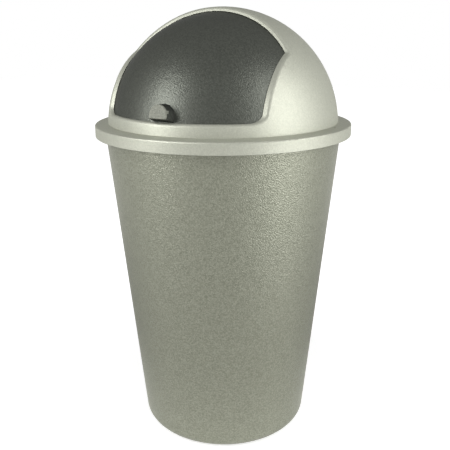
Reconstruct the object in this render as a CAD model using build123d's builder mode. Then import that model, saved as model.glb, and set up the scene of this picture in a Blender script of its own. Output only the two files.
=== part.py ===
from build123d import *
import os
from math import acos, asin, atan, atan2, cos, degrees, radians, sin, sqrt, tan

os.makedirs("parts", exist_ok=True)

# Swing-lid trash can, in millimetres. The front, with the knob, faces -Y, and the flap turns about
# the X direction. Z is up, and the origin is the middle of the foot.

# Bin body
base_radius = 137.3         # outer wall carried down to the floor
mouth_gap = 1.5             # between the bin's wall and the dome's foot, where the skirt ends
bin_wall = 2.4
base_corner = 18.7          # outside rounding between base and wall
floor_thickness = 3.0
foot_lift = 4.0             # the middle of the base stands clear of the floor
foot_width = 12.0           # flat ring that the bin stands on
foot_slope = 5.0            # run of the bevel from the ring up to the lifted base
rim_thickness = 2.4
rim_lip_depth = 9.0         # the rim turns down outside by this much
rim_rounding = 2.0          # outer top edge of the rim
edge_rounding = 0.7         # moulded edges out of sight

# Lid
dome_radius = 180.0
dome_wall = 2.3
hinge_drop = 8.4            # the dome's centre, on the flap's axis, below the ledge's edge
skirt_overhang = 20.0       # from the dome's radius out to the bottom edge of the skirt
skirt_bottom = 493.0        # height of that edge
skirt_height = 17.0
skirt_draft = 0.2           # the skirt is this much smaller at its top
skirt_wall = 2.2
ledge_wall = 2.2
ledge_rise = 2.2            # the ledge climbs this much from its edge to the dome
ledge_edge = 2.0            # rounding of its outer edge
collar_depth = 15.5         # locating collar below the hinge axis
collar_taper = 0.8          # the collar is this much smaller at its bottom

# Opening in the dome
opening_half_width = 130.0  # at its widest, on the dome's outside
sill_rise = 28.0            # lower edge above the hinge axis
top_tilt = 22.3             # the upper edge lies in a plane that leans back by this
top_distance = 86.3         # from the dome's centre to that plane
lower_corner = 18.0
upper_corner = 7.0
return_wall = 2.8
lip_rounding = 5.0          # outer edge of the opening, all round

# Flap
flap_recess = 6.2           # the flap's face lies this far inside the dome's face
flap_gap = 0.8              # running gap between the return and the flap
flap_wall = 2.2
flap_overlap = 8.0          # the flap's hidden margin behind the return
arm_angle = 38.0            # direction of the arm, up from the front
arm_end_radius = 24.0       # half the width of the arm where it joins the flap
arm_hub_radius = 10.0       # rounded lower end of the arm
hub_radius = 9.0            # raised bearing boss on the arm's inside
hub_depth = 6.4             # from the pole of the flap's sphere inwards

# Stops that the closed flap rests on
stop_angle = 24.0           # to each side of the front
stop_width = 14.0
stop_height = 4.0
stop_reach = 9.0
stop_gap = 0.3

# Pivots
pin_radius = 3.0
pin_head_radius = 7.0
pin_head = 2.0
pin_lead = 0.6              # bevel on the pin's end
pin_end_gap = 0.5           # from the pin's end to the collar's outside
pin_running_clearance = 0.08
pin_press_clearance = 0.01
pivot_boss_radius = 9.0
pivot_side_gap = 0.5        # hub to boss, and head to hub
slot_length = 5.0           # outwards, in the ledge above each pivot
slot_width = 3.0
slot_foot_gap = 0.8         # from the dome's foot to the slot
through = 1.0               # how far a cutting tool passes the faces that it opens
on_face = 0.01              # an edge this near to a surface lies on it

# Fits between lid and bin
seat_gap = 0.3
rim_side_gap = 1.0

# Knob
knob_sill_gap = 0.6         # from the opening's sill up to the knob's lower edge
knob_half_width = 16.2      # at the flap's face
knob_top = 12.2             # above its axis, at the flap's face
knob_bottom = 12.3          # below its axis, at the flap's face
knob_height = 16.2          # the cap included
knob_draft = 10.0
knob_corner = 2.5
knob_wall = 2.2
knob_floor = 2.5
seat_depth = 2.0            # drawn down past the flap's face, then cut to seat on it
knob_seat_gap = 0.05
cap_thickness = 2.4
cap_edge = 0.8
cap_spigot = 3.0
cap_clearance = 0.15
cap_tab_width = 4.0
cap_tab_depth = 3.4
cap_tab_wall = 1.8
cap_rim_wall = 1.2
screw_radius = 1.75
screw_head_radius = 3.8
screw_head = 2.2
screw_length = 12.0
screw_hole_clearance = 0.25
screw_bite_clearance = 0.02
screw_boss_radius = 4.0
screw_seat_gap = 0.1        # the flat head under the flap's curved wall
head_rounding = 0.8         # heads of the screw and the pins

# Worked out from the sizes above
lid_radius = dome_radius + skirt_overhang
mouth_radius = dome_radius + mouth_gap + bin_wall
wall_slope = (mouth_radius - base_radius) / skirt_bottom
ledge_height = skirt_bottom + skirt_height
hinge_height = ledge_height - hinge_drop
ledge_radius = lid_radius - skirt_draft
foot_radius = dome_radius * cos(atan2(ledge_height + ledge_rise - hinge_height, dome_radius))
flap_radius = dome_radius - flap_recess
return_radius = flap_radius + flap_gap
side_arc_radius = sqrt(dome_radius**2 - opening_half_width**2)
reach = 1.5 * dome_radius   # half the length of a tool that cuts right across the lid
knob_reach = sqrt(flap_radius**2 + knob_bottom**2)
knob_rise = degrees(asin((sill_rise + knob_sill_gap) / knob_reach) + atan2(knob_bottom, flap_radius))

side_plane = Plane(origin=(0, 0, hinge_height), x_dir=(0, -1, 0), z_dir=(-1, 0, 0))
knob_normal = Vector(0, -cos(radians(knob_rise)), sin(radians(knob_rise)))
knob_plane = Plane(
    origin=side_plane.origin + knob_normal * flap_radius, x_dir=(1, 0, 0), z_dir=knob_normal
)


def wall_radius(height):
    return base_radius + wall_slope * height


def ledge_top(radius):
    return ledge_height + ledge_rise * (ledge_radius - radius) / (ledge_radius - foot_radius)


def rim_top(radius):
    return ledge_top(radius) - ledge_wall - seat_gap


def nearest(section, radius, height):
    # the corner of a section that lies at this radius and height
    return section.vertices().sort_by_distance((radius, height))[0]


# Bin body: one section turned about the middle
rim_radius = ledge_radius - skirt_wall - rim_side_gap
rim_inner = wall_radius(rim_top(mouth_radius)) - bin_wall
rim_under = rim_top(rim_radius) - rim_thickness
lip_bottom = rim_top(rim_radius) - rim_lip_depth
floor_top = foot_lift + floor_thickness
foot_outer = wall_radius(0)
foot_inner = foot_outer - base_corner - foot_width

with BuildPart() as bin_body:
    with BuildSketch(Plane.XZ) as bin_section:
        with BuildLine():
            Polyline(
                (0, foot_lift),
                (foot_inner - foot_slope, foot_lift),
                (foot_inner, 0),
                (foot_outer, 0),
                (wall_radius(rim_under), rim_under),
                (rim_radius - rim_thickness, rim_under),
                (rim_radius - rim_thickness, lip_bottom),
                (rim_radius, lip_bottom),
                (rim_radius, rim_top(rim_radius)),
                (rim_inner, rim_top(rim_inner)),
                (wall_radius(floor_top) - bin_wall, floor_top),
                (0, floor_top),
                close=True,
            )
        make_face()
        fillet(nearest(bin_section, foot_outer, 0), base_corner)
        fillet(nearest(bin_section, wall_radius(floor_top) - bin_wall, floor_top), base_corner - bin_wall)
        fillet(nearest(bin_section, rim_radius, rim_top(rim_radius)), rim_rounding)
        fillet(nearest(bin_section, rim_inner, rim_top(rim_inner)), edge_rounding)
        fillet(nearest(bin_section, rim_radius - rim_thickness, rim_under), edge_rounding)
        fillet(nearest(bin_section, wall_radius(rim_under), rim_under), rim_thickness)
    revolve(axis=Axis.Z)
bin_body.part.label = "bin_body"


def opening_outline(margin):
    # The opening seen from the side, in the plane of the hinge's axis: level sill, an arc about
    # the axis that bounds both sides, and the leaning upper edge. A margin widens it all round.
    lean = radians(top_tilt)
    back = top_distance - margin - reach / 2
    arc_radius = side_arc_radius - margin
    with BuildSketch(side_plane.offset(-reach)) as outline:
        with Locations((reach / 2, sill_rise - margin + reach / 2)):
            Rectangle(reach, reach)
        Circle(arc_radius, mode=Mode.SUBTRACT)
        with Locations((back * cos(lean), back * sin(lean))):
            Rectangle(reach, 3 * reach, rotation=top_tilt, mode=Mode.SUBTRACT)
        side_arc = outline.edges().filter_by(GeomType.CIRCLE)[0]
        fillet(side_arc.vertices().sort_by(Axis.Y)[0], lower_corner + margin)
        side_arc = outline.edges().filter_by(GeomType.CIRCLE).sort_by(Edge.radius)[-1]
        fillet(side_arc.vertices().sort_by(Axis.Y)[-1], upper_corner + margin)
    return outline.sketch


# The return round the opening: a wall that turns inwards from the dome's face to the flap
with BuildPart() as opening_return:
    extrude(opening_outline(return_wall), amount=2 * reach)
    with Locations((0, 0, hinge_height)):
        Sphere(dome_radius, mode=Mode.INTERSECT)
        Sphere(return_radius, mode=Mode.SUBTRACT)

with BuildPart() as opening_cut:
    extrude(opening_outline(0), amount=2 * reach)

# Dome lid
skirt_inner = ledge_radius - skirt_wall
ledge_under = ledge_top(skirt_inner) - ledge_wall
collar_outer = foot_radius
collar_inner = dome_radius - dome_wall
collar_bottom = hinge_height - collar_depth
boss_face = flap_radius + pivot_side_gap
stop_top = sill_rise - flap_overlap - stop_gap

with BuildPart() as dome_lid:
    with BuildSketch(Plane.XZ) as lid_section:
        with BuildLine():
            dome_outside = CenterArc(
                (0, hinge_height), dome_radius,
                degrees(atan2(ledge_top(foot_radius) - hinge_height, foot_radius)),
                90 - degrees(atan2(ledge_top(foot_radius) - hinge_height, foot_radius)),
            )
            Polyline(
                dome_outside @ 0,
                (ledge_radius, ledge_height),
                (lid_radius, skirt_bottom),
                (lid_radius - skirt_wall, skirt_bottom),
                (skirt_inner, ledge_under),
                (collar_outer, ledge_top(collar_outer) - ledge_wall),
                (collar_outer - collar_taper, collar_bottom),
                (collar_inner - collar_taper, collar_bottom),
                (collar_inner, hinge_height),
            )
            dome_inside = CenterArc((0, hinge_height), collar_inner, 0, 90)
            Line(dome_inside @ 1, dome_outside @ 1)
        make_face()
        fillet(nearest(lid_section, ledge_radius, ledge_height), ledge_edge)
        fillet(nearest(lid_section, lid_radius, skirt_bottom), edge_rounding)
        fillet(nearest(lid_section, lid_radius - skirt_wall, skirt_bottom), edge_rounding)
    revolve(axis=Axis.Z)
    add(opening_return.part)
    add(opening_cut.part, mode=Mode.SUBTRACT)
    # soften the opening's outer edge: from the sill, the rounding runs on along the whole loop
    opening_edges = dome_lid.edges(Select.LAST).filter_by(
        lambda e: all(abs((e @ t - side_plane.origin).length - dome_radius) < on_face for t in (0, 0.5, 1))
    )
    fillet(opening_edges.sort_by(Axis.Z)[0], lip_rounding)
    # bosses that take the pivot pins, inside the collar
    for side in (-1, 1):
        with BuildSketch(Plane.YZ.offset(side * boss_face)):
            with Locations((0, hinge_height)):
                Circle(pivot_boss_radius)
        extrude(amount=side * (collar_inner - boss_face + through))
        with BuildSketch(Plane.YZ.offset(side * (boss_face - through))):
            with Locations((0, hinge_height)):
                Circle(pin_radius + pin_press_clearance)
        extrude(amount=side * (collar_outer - boss_face + 2 * through), mode=Mode.SUBTRACT)
    # a slot through the ledge above each pivot
    slot_middle = foot_radius + slot_foot_gap + slot_length / 2
    with BuildSketch(Plane.XY.offset(ledge_height - ledge_wall - through)):
        with GridLocations(2 * slot_middle, 0, 2, 1):
            SlotOverall(slot_length, slot_width)
    extrude(amount=ledge_wall + ledge_rise + 2 * through, mode=Mode.SUBTRACT)
    # stops under the closed flap's lower edge
    stop_outer = sqrt(collar_inner**2 - stop_top**2) + dome_wall / 2
    for side in (-1, 1):
        stop_plane = Plane(origin=(0, 0, hinge_height + stop_top), x_dir=(1, 0, 0), z_dir=(0, 0, -1))
        with BuildSketch(stop_plane.rotated((0, 0, side * stop_angle))):
            with Locations((0, stop_outer - stop_reach / 2)):
                Rectangle(stop_width, stop_reach)
        extrude(amount=stop_height)
dome_lid.part.label = "dome_lid"

# Flap: a sheet of the sphere just inside the dome, with an arm on each side down to the axis
arm_reach = side_arc_radius - flap_overlap - arm_end_radius / 2

with BuildSketch(side_plane.offset(-reach)) as arm_outline:
    Circle(arm_hub_radius)
    with PolarLocations(arm_reach, 1, start_angle=arm_angle):
        Circle(arm_end_radius)
    make_hull()

with BuildPart() as swing_flap:
    extrude(opening_outline(flap_overlap), amount=2 * reach)
    extrude(arm_outline.sketch, amount=2 * reach)
    with Locations((0, 0, hinge_height)):
        Sphere(flap_radius, mode=Mode.INTERSECT)
        Sphere(flap_radius - flap_wall, mode=Mode.SUBTRACT)
    for side in (-1, 1):
        with BuildSketch(Plane.YZ.offset(side * (flap_radius - hub_depth))):
            with Locations((0, hinge_height)):
                Circle(hub_radius)
        extrude(amount=side * (hub_depth - flap_wall / 2))
        with BuildSketch(Plane.YZ.offset(side * (flap_radius - hub_depth - through))):
            with Locations((0, hinge_height)):
                Circle(pin_radius + pin_running_clearance)
        extrude(amount=side * (hub_depth + 2 * through), mode=Mode.SUBTRACT)
    with BuildSketch(knob_plane.offset(-flap_wall - through)):
        Circle(screw_radius + screw_hole_clearance)
    extrude(amount=flap_wall + 2 * through, mode=Mode.SUBTRACT)
swing_flap.part.label = "swing_flap"


def knob_outline(plane, inset):
    # a D on its back: level bottom, straight sides and a half-round top
    half_width = knob_half_width - inset
    side_height = knob_bottom + knob_top - knob_half_width - inset
    with BuildSketch(plane) as outline:
        with BuildLine():
            top = CenterArc((0, knob_top - knob_half_width), half_width, 0, 180)
            Polyline(
                top @ 1,
                (-half_width, -knob_bottom + inset),
                (half_width, -knob_bottom + inset),
                top @ 0,
            )
        make_face()
        fillet(outline.vertices().group_by(Axis.Y)[0], min(knob_corner, 0.6 * side_height))
    return outline.sketch


body_height = knob_height - cap_thickness
draft_inset = body_height * tan(radians(knob_draft))

with BuildPart() as knob:
    seat_outline = knob_outline(knob_plane.offset(-seat_depth), -seat_depth * tan(radians(knob_draft)))
    extrude(seat_outline, amount=seat_depth + body_height, taper=knob_draft)
    with Locations((0, 0, hinge_height)):
        Sphere(flap_radius + knob_seat_gap, mode=Mode.SUBTRACT)
    pocket_outline = knob_outline(knob_plane.offset(knob_floor), draft_inset + knob_wall)
    extrude(pocket_outline, amount=knob_height, mode=Mode.SUBTRACT)
    with BuildSketch(knob_plane.offset(knob_floor / 2)):
        Circle(screw_boss_radius)
    extrude(amount=body_height - cap_spigot - knob_floor / 2)
    with BuildSketch(knob_plane.offset(-seat_depth)):
        Circle(screw_radius + screw_bite_clearance)
    extrude(amount=screw_length + seat_depth, mode=Mode.SUBTRACT)
    with BuildSketch(knob_plane.offset(body_height - cap_tab_depth - cap_clearance)):
        Rectangle(3 * knob_half_width, cap_tab_width + 2 * cap_clearance)
    extrude(amount=knob_height, mode=Mode.SUBTRACT)
knob.part.label = "knob"

with BuildPart() as knob_cap:
    extrude(knob_outline(knob_plane.offset(body_height), draft_inset), amount=cap_thickness, taper=knob_draft)
    fillet(knob_cap.faces().sort_by(Axis(knob_plane.origin, knob_normal))[-1].edges(), cap_edge)
    # a rim that locates the cap inside the knob's wall
    spigot_inset = draft_inset + knob_wall + cap_clearance
    extrude(knob_outline(knob_plane.offset(body_height), spigot_inset), amount=-cap_spigot)
    extrude(
        knob_outline(knob_plane.offset(body_height), spigot_inset + cap_rim_wall),
        amount=-cap_spigot,
        mode=Mode.SUBTRACT,
    )
    # side tabs that show in the knob's notches
    with BuildSketch(knob_plane.offset(body_height)):
        with GridLocations(2 * (knob_half_width - draft_inset) - cap_tab_wall, 0, 2, 1):
            Rectangle(cap_tab_wall, cap_tab_width)
    extrude(amount=-cap_tab_depth)
knob_cap.part.label = "knob_cap"

with BuildPart() as knob_screw:
    with BuildSketch(knob_plane.offset(-flap_wall - screw_seat_gap)):
        Circle(screw_radius)
    extrude(amount=screw_length)
    with BuildSketch(knob_plane.offset(-flap_wall - screw_seat_gap)):
        Circle(screw_head_radius)
    extrude(amount=-screw_head)
    head_top = knob_screw.faces().sort_by(Axis(knob_plane.origin, knob_normal))[0]
    fillet(head_top.edges(), head_rounding)
knob_screw.part.label = "knob_screw"


def pivot_pin(side):
    # headed pin, pushed outwards through the flap's hub into the lid's boss
    hub_face = flap_radius - hub_depth
    head_face = hub_face - pivot_side_gap
    with BuildPart() as pin:
        with BuildSketch(Plane.YZ.offset(side * head_face)):
            with Locations((0, hinge_height)):
                Circle(pin_radius)
        extrude(amount=side * (collar_outer - collar_taper - pin_end_gap - head_face))
        with BuildSketch(Plane.YZ.offset(side * head_face)):
            with Locations((0, hinge_height)):
                Circle(pin_head_radius)
        extrude(amount=-side * pin_head)
        pin_ends = pin.faces().sort_by(Axis.X)
        fillet(pin_ends[0 if side > 0 else -1].edges(), head_rounding)
        chamfer(pin_ends[-1 if side > 0 else 0].edges(), pin_lead)
    pin.part.label = "pivot_pin_right" if side > 0 else "pivot_pin_left"
    return pin


pieces = [bin_body, dome_lid, swing_flap, knob, knob_cap, knob_screw, pivot_pin(-1), pivot_pin(1)]
for piece in pieces:
    export_step(piece.part, f"parts/{piece.part.label}.step")

# How far the flap opens before its knob meets the opening's upper edge
knob_tip = degrees(atan((knob_top - flap_gap * tan(radians(knob_draft))) / return_radius))
upper_edge = top_tilt + degrees(acos(top_distance / return_radius))
print("the flap opens by", round(upper_edge - knob_rise - knob_tip, 2), "degrees")
print("overall height", round(hinge_height + dome_radius, 2))
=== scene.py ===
import math

import bpy
from mathutils import Matrix, Vector


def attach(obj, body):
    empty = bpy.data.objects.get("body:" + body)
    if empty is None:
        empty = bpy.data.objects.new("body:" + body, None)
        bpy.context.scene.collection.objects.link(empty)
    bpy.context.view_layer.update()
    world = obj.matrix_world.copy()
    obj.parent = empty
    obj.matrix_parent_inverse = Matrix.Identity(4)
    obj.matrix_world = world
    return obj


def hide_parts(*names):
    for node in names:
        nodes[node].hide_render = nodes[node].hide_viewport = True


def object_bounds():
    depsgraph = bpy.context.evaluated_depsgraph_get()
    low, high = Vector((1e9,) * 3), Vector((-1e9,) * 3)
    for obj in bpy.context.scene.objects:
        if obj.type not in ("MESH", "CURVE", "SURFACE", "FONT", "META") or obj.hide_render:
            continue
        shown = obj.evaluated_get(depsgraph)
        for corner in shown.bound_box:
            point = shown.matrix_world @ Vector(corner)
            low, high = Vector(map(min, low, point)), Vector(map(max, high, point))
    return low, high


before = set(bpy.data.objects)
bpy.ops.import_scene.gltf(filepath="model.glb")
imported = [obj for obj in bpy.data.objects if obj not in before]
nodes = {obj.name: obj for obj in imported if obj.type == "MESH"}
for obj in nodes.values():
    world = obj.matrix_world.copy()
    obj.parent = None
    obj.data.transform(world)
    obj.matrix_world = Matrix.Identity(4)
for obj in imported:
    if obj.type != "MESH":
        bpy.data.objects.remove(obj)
cadLow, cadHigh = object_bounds()
print("frame loaded:", ", ".join(sorted(nodes)))


# Helpers for node trees

def newMaterial(name):
    material = bpy.data.materials.new(name)
    material.use_nodes = True
    material.node_tree.nodes.clear()
    return material, material.node_tree


def addNode(tree, kind, inputs=None, **settings):
    # settings are the node's own properties; inputs give a socket a value or a link
    node = tree.nodes.new(kind)
    for name, value in settings.items():
        setattr(node, name, value)
    for name, value in (inputs or {}).items():
        if isinstance(value, bpy.types.NodeSocket):
            tree.links.new(value, node.inputs[name])
        else:
            node.inputs[name].default_value = value
    return node


def noiseOf(tree, point, size, detail, roughness=0.5):
    # soft lumps of about this size, in metres, between 0 and 1
    inputs = {"Vector": point, "Scale": 1 / size, "Detail": detail, "Roughness": roughness}
    return addNode(tree, "ShaderNodeTexNoise", inputs).outputs["Fac"]


def pebblesOf(tree, point, size, smoothness):
    # rounded pebbles of about this size, in metres: 0 in their middles and rising to their edges
    inputs = {"Vector": point, "Scale": 1 / size, "Smoothness": smoothness}
    node = addNode(tree, "ShaderNodeTexVoronoi", inputs, feature="SMOOTH_F1")
    return node.outputs["Distance"]


def flakesOf(tree, point, size):
    # a random colour for each flake of this size
    return addNode(tree, "ShaderNodeTexVoronoi", {"Vector": point, "Scale": 1 / size}).outputs["Color"]


def stretchOf(tree, value, fromLow, fromHigh, toLow, toHigh):
    inputs = {"Value": value, "From Min": fromLow, "From Max": fromHigh, "To Min": toLow, "To Max": toHigh}
    return addNode(tree, "ShaderNodeMapRange", inputs).outputs["Result"]


def mathOf(tree, operation, *values):
    return addNode(tree, "ShaderNodeMath", dict(enumerate(values)), operation=operation).outputs[0]


def rampOf(tree, factor, stops):
    # a colour for each place along a factor
    ramp = addNode(tree, "ShaderNodeValToRGB", {"Fac": factor})
    elements = ramp.color_ramp.elements
    while len(elements) < len(stops):
        elements.new(0.5)
    for element, (place, colour) in zip(elements, stops):
        element.position = place
        element.color = (*colour, 1)
    return ramp.outputs["Color"]


# Finishes

grain = {
    "pebbleSmoothness": 0.35,
    "sandDetail": 1.0,
    "sandRange": (0.3, 0.7),       # the part of the noise that is used, stretched to 0 to 1
    "mottleDetail": 3.0,
    "mottleRoughness": 0.6,
    "mottleRange": (0.35, 0.65),
    "colourRange": (0.15, 0.85),   # where the dark colour ends and the pale one starts
}


def mouldedPlastic(name, look):
    # grained plastic with pigment flakes, mottled a little, as the mould leaves it
    material, tree = newMaterial(name)
    point = addNode(tree, "ShaderNodeTexCoord").outputs["Object"]
    pebbles = pebblesOf(tree, point, look["grainSize"], grain["pebbleSmoothness"])
    sand = noiseOf(tree, point, look["sandSize"], grain["sandDetail"])
    mottle = noiseOf(tree, point, look["mottleSize"], grain["mottleDetail"], grain["mottleRoughness"])
    flakes = flakesOf(tree, point, look["flakeSize"])
    flake = addNode(tree, "ShaderNodeSeparateColor", {"Color": flakes}).outputs["Red"]
    sandHeight = stretchOf(tree, sand, 0, 1, 0, look["sandShare"])
    height = mathOf(tree, "MULTIPLY_ADD", pebbles, -look["grainShare"], sandHeight)
    mottle = stretchOf(tree, mottle, *grain["mottleRange"], 0, 1)
    flakeShade = stretchOf(tree, flake, 0, 1, 0, 1 - look["mottleShare"])
    shade = mathOf(tree, "MULTIPLY_ADD", mottle, look["mottleShare"], flakeShade)
    darkEnd, paleStart = grain["colourRange"]
    colour = rampOf(tree, shade, [(darkEnd, look["darkColour"]), (paleStart, look["paleColour"])])
    gloss = stretchOf(tree, sand, *grain["sandRange"], look["roughLow"], look["roughHigh"])
    bumpInputs = {"Height": height, "Strength": look["bumpStrength"], "Distance": look["bumpDepth"]}
    bump = addNode(tree, "ShaderNodeBump", bumpInputs).outputs["Normal"]
    shader = addNode(tree, "ShaderNodeBsdfPrincipled", {
        "Base Color": colour,
        "Roughness": gloss,
        "Normal": bump,
        "Metallic": look["metal"],
        "Specular IOR Level": look["shine"],
        "Specular Tint": (*look["edgeTint"], 1),
    })
    addNode(tree, "ShaderNodeOutputMaterial", {"Surface": shader.outputs["BSDF"]})
    return material


def dress(nodeName, material):
    nodes[nodeName].material_slots[0].material = material


bodyLook = {
    "darkColour": (0.22, 0.229, 0.176),
    "paleColour": (0.33, 0.338, 0.269),
    "edgeTint": (0.8, 0.8, 0.76),
    "metal": 0.55,            # stands for the metallic pigment in the plastic
    "shine": 0.55,
    "roughLow": 0.28,
    "roughHigh": 0.34,
    "grainSize": 0.0017,      # sizes in metres
    "grainShare": 0.8,        # of the bump's height
    "sandSize": 0.0015,
    "sandShare": 0.15,
    "mottleSize": 0.0026,
    "mottleShare": 0.35,      # of the colour's change; the flakes give the rest
    "flakeSize": 0.0016,
    "bumpStrength": 1.0,
    "bumpDepth": 0.0006,
}
lidLook = {
    "darkColour": (0.44, 0.45, 0.38),
    "paleColour": (0.503, 0.513, 0.434),
    "edgeTint": (0.4, 0.4, 0.37),
    "metal": 0.5,
    "shine": 0.56,
    "roughLow": 0.46,
    "roughHigh": 0.54,
    "grainSize": 0.0017,
    "grainShare": 0.6,
    "sandSize": 0.0016,
    "sandShare": 0.15,
    "mottleSize": 0.0024,
    "mottleShare": 0.6,
    "flakeSize": 0.0014,
    "bumpStrength": 1.0,
    "bumpDepth": 0.00022,
}
flapLook = {
    "darkColour": (0.082, 0.087, 0.075),
    "paleColour": (0.12, 0.127, 0.109),
    "edgeTint": (0.25, 0.25, 0.25),
    "metal": 0.63,
    "shine": 0.8,
    "roughLow": 0.35,
    "roughHigh": 0.41,
    "grainSize": 0.0017,
    "grainShare": 0.6,
    "sandSize": 0.0015,
    "sandShare": 0.15,
    "mottleSize": 0.0026,
    "mottleShare": 0.6,
    "flakeSize": 0.0016,
    "bumpStrength": 1.0,
    "bumpDepth": 0.0004,
}
# the knob is the flap's plastic made darker: painted shade for the knob's shaded sides and underside
knobShadedLook = dict(flapLook, darkColour=(0.05, 0.053, 0.046), paleColour=(0.075, 0.08, 0.069), shine=0.5)
capLook = dict(
    bodyLook, darkColour=(0.18, 0.186, 0.155), paleColour=(0.25, 0.256, 0.216),
    metal=0.2, shine=0.3, roughLow=0.46, roughHigh=0.52,
)
pinLook = dict(flapLook, darkColour=(0.02, 0.02, 0.02), paleColour=(0.03, 0.03, 0.03))
steelLook = dict(flapLook, darkColour=(0.45, 0.45, 0.44), paleColour=(0.58, 0.58, 0.57), metal=1.0)

dress("bin_body", mouldedPlastic("bodyPlastic", bodyLook))
dress("dome_lid", mouldedPlastic("lidPlastic", lidLook))
dress("swing_flap", mouldedPlastic("flapPlastic", flapLook))
dress("knob", mouldedPlastic("knobShadedPlastic", knobShadedLook))
dress("knob_cap", mouldedPlastic("capPlastic", capLook))
pinPlastic = mouldedPlastic("pinPlastic", pinLook)
dress("pivot_pin_left", pinPlastic)
dress("pivot_pin_right", pinPlastic)
print("finishes done")

# Screw that holds the knob, with its cross recess and thread

screwShape = {
    "seat": (0.0, -0.166764, 0.541624),  # where the head meets the flap
    "rise": 13.4958,          # degrees that it points up from level, towards the front
    "headRadius": 0.0038,
    "headHeight": 0.0022,
    "headRounding": 0.0008,
    "headSegments": 4,
    "recessLength": 0.0042,
    "recessWidth": 0.0009,
    "recessDepth": 0.0013,
    "recessDraft": 0.7,       # size of the recess at its floor
    "coreRadius": 0.00125,
    "shankLength": 0.0098,
    "tipLength": 0.002,
    "tipDraft": 0.25,
    "ridgeSize": 0.0004,
    "ridgeStart": 0.0008,
    "pitch": 0.0013,
    "turns": 7,
    "sides": 32,
    "smoothAngle": 35,
    "level": 0.9,             # a face whose normal has more of this along the screw is an end face
}


def selectFaces(piece, passes):
    # in edit mode, only the faces whose middle and normal pass
    bpy.ops.object.mode_set(mode="OBJECT")
    for face in piece.data.polygons:
        face.select = passes(face.center, face.normal)
    bpy.ops.object.mode_set(mode="EDIT")


def cutWith(piece, cutter, operation):
    # a boolean with another piece, which is used up
    modifier = piece.modifiers.new("cut", "BOOLEAN")
    modifier.operation = operation
    modifier.solver = "EXACT"
    modifier.object = cutter
    bpy.context.view_layer.objects.active = piece
    bpy.ops.object.modifier_apply(modifier=modifier.name)
    bpy.data.objects.remove(cutter)


def screwBlank(shape):
    # head with a rounded edge, then the shank drawn out of it and narrowed to its tip
    bpy.ops.mesh.primitive_cylinder_add(
        vertices=shape["sides"], radius=shape["headRadius"], depth=shape["headHeight"],
        location=(0, 0, -shape["headHeight"] / 2),
    )
    blank = bpy.context.object
    bpy.ops.object.transform_apply()
    bpy.ops.object.mode_set(mode="EDIT")
    bpy.context.tool_settings.mesh_select_mode = (False, False, True)
    selectFaces(blank, lambda middle, normal: normal.z > shape["level"])
    bpy.ops.mesh.inset(thickness=shape["headRadius"] - shape["coreRadius"])
    bpy.ops.mesh.extrude_region_move(TRANSFORM_OT_translate={"value": (0, 0, shape["shankLength"])})
    bpy.ops.mesh.extrude_region_move(TRANSFORM_OT_translate={"value": (0, 0, shape["tipLength"])})
    bpy.ops.transform.resize(value=(shape["tipDraft"], shape["tipDraft"], 1))
    selectFaces(blank, lambda middle, normal: normal.z < -shape["level"])
    bpy.ops.mesh.bevel(offset=shape["headRounding"], segments=shape["headSegments"], affect="EDGES")
    bpy.ops.object.mode_set(mode="OBJECT")
    return blank


def screwRidge(shape):
    # the thread's triangle, swept up and round the shank, its two ends closed
    stand = Matrix(((0, 1, 0), (0, 0, -1), (-1, 0, 0))).to_euler()
    bpy.ops.mesh.primitive_circle_add(
        vertices=3, radius=shape["ridgeSize"], rotation=stand,
        location=(shape["coreRadius"] + shape["ridgeSize"] / 4, 0, shape["ridgeStart"]),
    )
    ridge = bpy.context.object
    bpy.ops.object.transform_apply()
    sweep = ridge.modifiers.new("sweep", "SCREW")
    sweep.axis = "Z"
    sweep.screw_offset = shape["pitch"]
    sweep.iterations = shape["turns"]
    sweep.steps = sweep.render_steps = shape["sides"]
    bpy.ops.object.modifier_apply(modifier=sweep.name)
    bpy.ops.object.mode_set(mode="EDIT")
    bpy.ops.mesh.select_all(action="SELECT")
    bpy.ops.mesh.fill_holes(sides=4)
    bpy.ops.mesh.select_all(action="SELECT")
    bpy.ops.mesh.normals_make_consistent(inside=False)
    bpy.ops.object.mode_set(mode="OBJECT")
    return ridge


def recessArm(shape, turn):
    # one arm of the cross, narrower at the recess's floor
    depth = shape["recessDepth"]
    bpy.ops.mesh.primitive_cube_add(size=1, location=(0, 0, -shape["headHeight"]))
    arm = bpy.context.object
    arm.scale = (shape["recessLength"], shape["recessWidth"], 2 * depth)
    arm.rotation_euler.z = turn
    bpy.ops.object.transform_apply()
    bpy.ops.object.mode_set(mode="EDIT")
    selectFaces(arm, lambda middle, normal: normal.z > shape["level"])
    bpy.ops.transform.resize(value=(shape["recessDraft"], shape["recessDraft"], 1))
    bpy.ops.object.mode_set(mode="OBJECT")
    return arm


bpy.ops.object.select_all(action="DESELECT")
knobScrew = screwBlank(screwShape)
knobScrew.name = "knobScrew"
cutWith(knobScrew, screwRidge(screwShape), "UNION")
for turn in (0, math.pi / 2):
    cutWith(knobScrew, recessArm(screwShape, turn), "DIFFERENCE")
bpy.ops.object.select_all(action="DESELECT")
knobScrew.select_set(True)
bpy.context.view_layer.objects.active = knobScrew
knobScrew.rotation_euler.x = math.radians(90 - screwShape["rise"])
knobScrew.location = screwShape["seat"]
bpy.ops.object.transform_apply()
bpy.ops.object.shade_smooth_by_angle(angle=math.radians(screwShape["smoothAngle"]))
knobScrew.data.materials.append(mouldedPlastic("screwSteel", steelLook))
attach(knobScrew, "flap")
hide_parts("knob_screw")
print("knob screw done:", len(knobScrew.data.polygons), "faces")


# Studio

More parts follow.
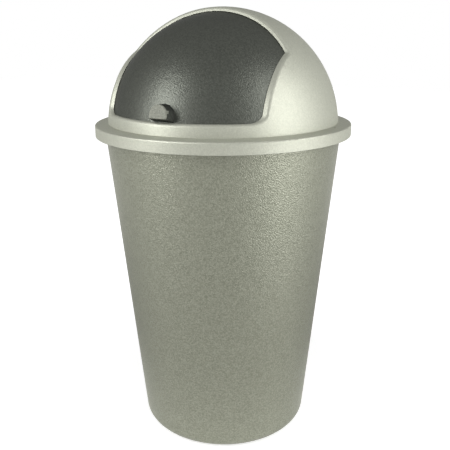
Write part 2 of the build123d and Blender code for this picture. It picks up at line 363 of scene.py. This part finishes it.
cameraPlace = {
    "azimuth": 28.0,          # degrees round to the right of the can's front
    "distance": 1.00488,      # metres from the can's upright axis
    "height": 0.65217,
    "tilt": 0.3041,           # radians down
    "roll": -0.0058,
    "focal": 631.22,          # in pixels of the photo's frame
    "frameWidth": 450,
    "sensorWidth": 36,        # millimetres
    "middleX": 223.7175,      # where the optical axis meets the frame
}
studio = {
    "leftAzimuth": -34.0,
    "leftElevation": 24.0,
    "leftSize": (0.5, 1.2),
    "leftPower": 20.8,
    "rightAzimuth": 82.0,
    "rightElevation": 20.0,
    "rightSize": (1.0, 2.0),
    "rightPower": 24.5,
    "rimAzimuth": 108.0,
    "rimElevation": 16.0,
    "rimSize": (0.7, 1.5),
    "rimPower": 4.0,
    "distance": 1.7,
    "ambient": 0.25,
    "floorColour": 0.72,
    "skyLow": 0.5,            # what glossy pieces show of the white room, level with them
    "skyHigh": 0.37,          # and overhead
    "floorLift": 0.6,         # lifts the floor to white where the camera sees it
    "floorLiftFar": 1.0,
    "liftStart": 0.3,         # metres from the can's axis
    "liftEnd": 1.0,
    "glowAt": (0.12, 0.35, 0.8, 1.4),    # metres from the can's axis
    "glows": (0.6, 0.0, 0.0, 0.5),       # and how bright glossy pieces show the floor there
    "floorSize": 12.0,
}


def addCamera(place):
    bpy.ops.object.camera_add()
    camera = bpy.context.object
    camera.name = "camera"
    turn = math.radians(place["azimuth"])
    spot = Vector((math.sin(turn), -math.cos(turn), 0)) * place["distance"]
    spot.z = place["height"]
    aim = Matrix.Rotation(turn, 4, "Z") @ Matrix.Rotation(math.pi / 2 - place["tilt"], 4, "X")
    camera.matrix_world = Matrix.Translation(spot) @ aim @ Matrix.Rotation(place["roll"], 4, "Z")
    camera.data.sensor_width = place["sensorWidth"]
    camera.data.lens = camera.data.sensor_width * place["focal"] / place["frameWidth"]
    camera.data.shift_x = (place["frameWidth"] / 2 - place["middleX"]) / place["frameWidth"]
    bpy.context.scene.camera = camera


def addSoftBox(side, settings):
    # a rectangular soft box aimed at the middle of the can
    middle = (cadLow + cadHigh) / 2
    turn, lift = math.radians(settings[side + "Azimuth"]), math.radians(settings[side + "Elevation"])
    away = Vector((math.sin(turn) * math.cos(lift), -math.cos(turn) * math.cos(lift), math.sin(lift)))
    bpy.ops.object.light_add(type="AREA", location=middle + away * settings["distance"])
    box = bpy.context.object
    box.name = side + "SoftBox"
    box.rotation_euler = away.to_track_quat("Z", "Y").to_euler()
    box.data.shape = "RECTANGLE"
    box.data.size, box.data.size_y = settings[side + "Size"]
    box.data.energy = settings[side + "Power"]
    box.visible_camera = False


def addWorld(settings):
    world = bpy.data.worlds.new("studio")
    bpy.context.scene.world = world
    world.use_nodes = True
    tree = world.node_tree
    tree.nodes.clear()
    path = addNode(tree, "ShaderNodeLightPath").outputs
    mirrored = mathOf(tree, "MAXIMUM", path["Is Glossy Ray"], path["Is Transmission Ray"])
    skyPoint = addNode(tree, "ShaderNodeTexCoord").outputs["Generated"]
    climb = addNode(tree, "ShaderNodeSeparateXYZ", {"Vector": skyPoint}).outputs["Z"]
    room = stretchOf(tree, climb, 0, 1, settings["skyLow"], settings["skyHigh"])
    shown = mathOf(tree, "MULTIPLY", mirrored, mathOf(tree, "SUBTRACT", room, settings["ambient"]))
    lit = mathOf(tree, "ADD", shown, settings["ambient"])
    strength = mathOf(tree, "MAXIMUM", path["Is Camera Ray"], lit)
    shade = addNode(tree, "ShaderNodeBackground", {"Color": (1, 1, 1, 1), "Strength": strength})
    addNode(tree, "ShaderNodeOutputWorld", {"Surface": shade.outputs[0]})


def addFloor(settings):
    bpy.ops.mesh.primitive_plane_add(size=settings["floorSize"], location=(0, 0, cadLow.z))
    floor = bpy.context.object
    floor.name = "floor"
    material, tree = newMaterial("palePaper")
    grey = settings["floorColour"]
    paper = addNode(tree, "ShaderNodeBsdfDiffuse", {"Color": (grey, grey, grey, 1)})
    point = addNode(tree, "ShaderNodeTexCoord").outputs["Object"]
    away = addNode(tree, "ShaderNodeVectorMath", {0: point}, operation="LENGTH").outputs["Value"]
    reach = (settings["liftStart"], settings["liftEnd"])
    white = stretchOf(tree, away, *reach, settings["floorLift"], settings["floorLiftFar"])
    path = addNode(tree, "ShaderNodeLightPath").outputs
    mirrored = mathOf(tree, "MAXIMUM", path["Is Glossy Ray"], path["Is Transmission Ray"])
    halfSize = settings["floorSize"] / 2
    glow = rampOf(tree, mathOf(tree, "DIVIDE", away, halfSize), [
        (place / halfSize, (bright, bright, bright))
        for place, bright in zip(settings["glowAt"], settings["glows"])
    ])
    shown = mathOf(tree, "MULTIPLY", mirrored, glow)
    strength = mathOf(tree, "MULTIPLY_ADD", path["Is Camera Ray"], white, shown)
    lift = addNode(tree, "ShaderNodeEmission", {"Strength": strength})
    both = addNode(tree, "ShaderNodeAddShader", {0: paper.outputs[0], 1: lift.outputs[0]})
    addNode(tree, "ShaderNodeOutputMaterial", {"Surface": both.outputs[0]})
    floor.data.materials.append(material)


addCamera(cameraPlace)
addWorld(studio)
addFloor(studio)
for side in ("left", "right", "rim"):
    addSoftBox(side, studio)
bpy.context.scene.view_settings.view_transform = "Standard"
print("studio done")
